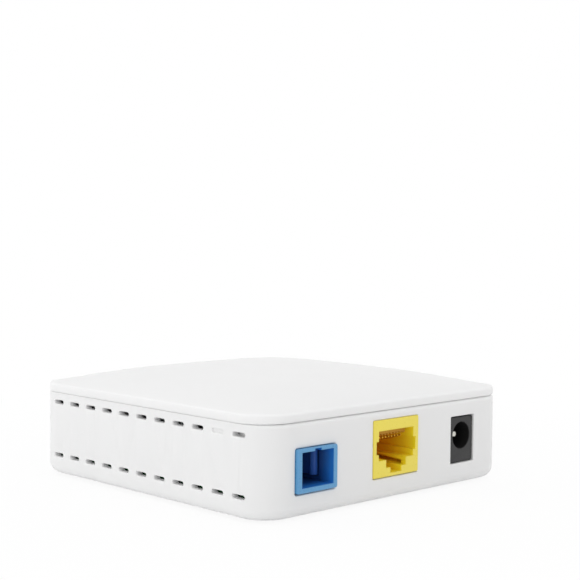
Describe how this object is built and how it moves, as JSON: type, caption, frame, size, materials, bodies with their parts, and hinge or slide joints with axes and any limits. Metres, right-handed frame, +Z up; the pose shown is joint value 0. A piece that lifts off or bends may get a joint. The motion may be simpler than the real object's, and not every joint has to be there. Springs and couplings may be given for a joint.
{
  "type": "optical network terminal",
  "caption": "Small square fibre network terminal: white vented case with crowned lid, blue optical socket, yellow network jack and dark power socket.",
  "frame": {"origin": "centre of the base, on the surface that the feet stand on", "axes": "+Z up through the lid, -Y out of the sockets, +X to the right when facing the sockets"},
  "size_m": [0.082, 0.0836, 0.0266],
  "materials": {
    "case_white": "fine spark-eroded texture, moulded ABS",
    "lid_white": "satin moulded ABS",
    "foot_rubber": "matt die-cut rubber",
    "board_mask": "green solder mask over glass epoxy",
    "screw_steel": "zinc plated",
    "fibre_blue": "blue moulded PBT",
    "latch_blue": "dark blue moulded PBT",
    "sleeve_ceramic": "ground zirconia",
    "optics_metal": "nickel plated, turned",
    "lan_yellow": "yellow moulded PBT",
    "socket_dark": "dark moulded nylon",
    "contact_gold": "gold plated spring wire",
    "contact_nickel": "bright nickel plate",
    "plunger_black": "moulded",
    "led_resin": "clear resin on a white carrier",
    "guide_clear": "clear polycarbonate light guide",
    "chip_epoxy": "moulded epoxy",
    "crystal_steel": "drawn steel can",
    "inductor_ferrite": "ferrite, sintered",
    "capacitor_aluminium": "drawn aluminium can"
  },
  "bodies": {
    "base": {"bottom_housing": "case_white", "rubber_foot_1": "foot_rubber", "rubber_foot_2": "foot_rubber", "rubber_foot_3": "foot_rubber", "rubber_foot_4": "foot_rubber", "main_board": "board_mask", "board_screw_1": "screw_steel", "board_screw_2": "screw_steel", "board_screw_3": "screw_steel", "board_screw_4": "screw_steel", "fibre_receptacle": "fibre_blue", "latch_holder": "latch_blue", "alignment_sleeve": "sleeve_ceramic", "optics_body": "optics_metal", "laser_can": "optics_metal", "photodiode_can": "optics_metal", "lan_jack_housing": "lan_yellow", "lan_contact_carrier": "lan_yellow", "dc_jack_housing": "socket_dark", "reset_switch_body": "socket_dark", "dc_center_pin": "contact_nickel", "status_led_1": "led_resin", "status_led_2": "led_resin", "status_led_3": "led_resin", "status_led_4": "led_resin", "light_guide": "guide_clear", "processor_chip": "chip_epoxy", "flash_chip": "chip_epoxy", "laser_driver_chip": "chip_epoxy", "lan_transformer": "chip_epoxy", "converter_chip": "chip_epoxy", "crystal_can": "crystal_steel", "power_inductor": "inductor_ferrite", "electrolytic_capacitor_1": "capacitor_aluminium", "electrolytic_capacitor_2": "capacitor_aluminium"},
    "cover": {"top_cover": "lid_white"},
    "reset_button": {"reset_plunger": "plunger_black"},
    "left_latch": {"latch_arm_left": "latch_blue"},
    "right_latch": {"latch_arm_right": "latch_blue"},
    "lan_contacts": {"lan_contact_1": "contact_gold", "lan_contact_2": "contact_gold", "lan_contact_3": "contact_gold", "lan_contact_4": "contact_gold", "lan_contact_5": "contact_gold", "lan_contact_6": "contact_gold", "lan_contact_7": "contact_gold", "lan_contact_8": "contact_gold"},
    "dc_leaf": {"dc_spring_contact": "contact_nickel"}
  },
  "joints": [
    {"name": "cover_lift", "type": "slide", "parent": "base", "child": "cover", "axis": [0, 0, 1], "range_m": [0, 0.05]},
    {"name": "reset_press", "type": "slide", "parent": "base", "child": "reset_button", "axis": [0, -1, 0], "range_m": [0, 0.00025], "stiffness_N_per_m": 2000},
    {"name": "right_latch_flex", "type": "hinge", "parent": "base", "child": "right_latch", "pos_m": [-0.02155, -0.0304, 0.01065], "axis": [0, 0, 1], "range_deg": [0, 2.5], "stiffness_Nm_per_rad": 0.14},
    {"name": "left_latch_flex", "type": "hinge", "parent": "base", "child": "left_latch", "pos_m": [-0.03005, -0.0304, 0.01065], "axis": [0, 0, -1], "range_deg": [0, 2.5], "stiffness_Nm_per_rad": 0.14},
    {"name": "lan_contacts_flex", "type": "hinge", "parent": "base", "child": "lan_contacts", "pos_m": [-0.00015, -0.0394, 0.0144], "axis": [1, 0, 0], "range_deg": [0, 8], "stiffness_Nm_per_rad": 0.28},
    {"name": "dc_leaf_flex", "type": "hinge", "parent": "base", "child": "dc_leaf", "pos_m": [0.024, -0.0304, 0.0082], "axis": [1, 0, 0], "range_deg": [0, 3], "stiffness_Nm_per_rad": 0.19}
  ]
}
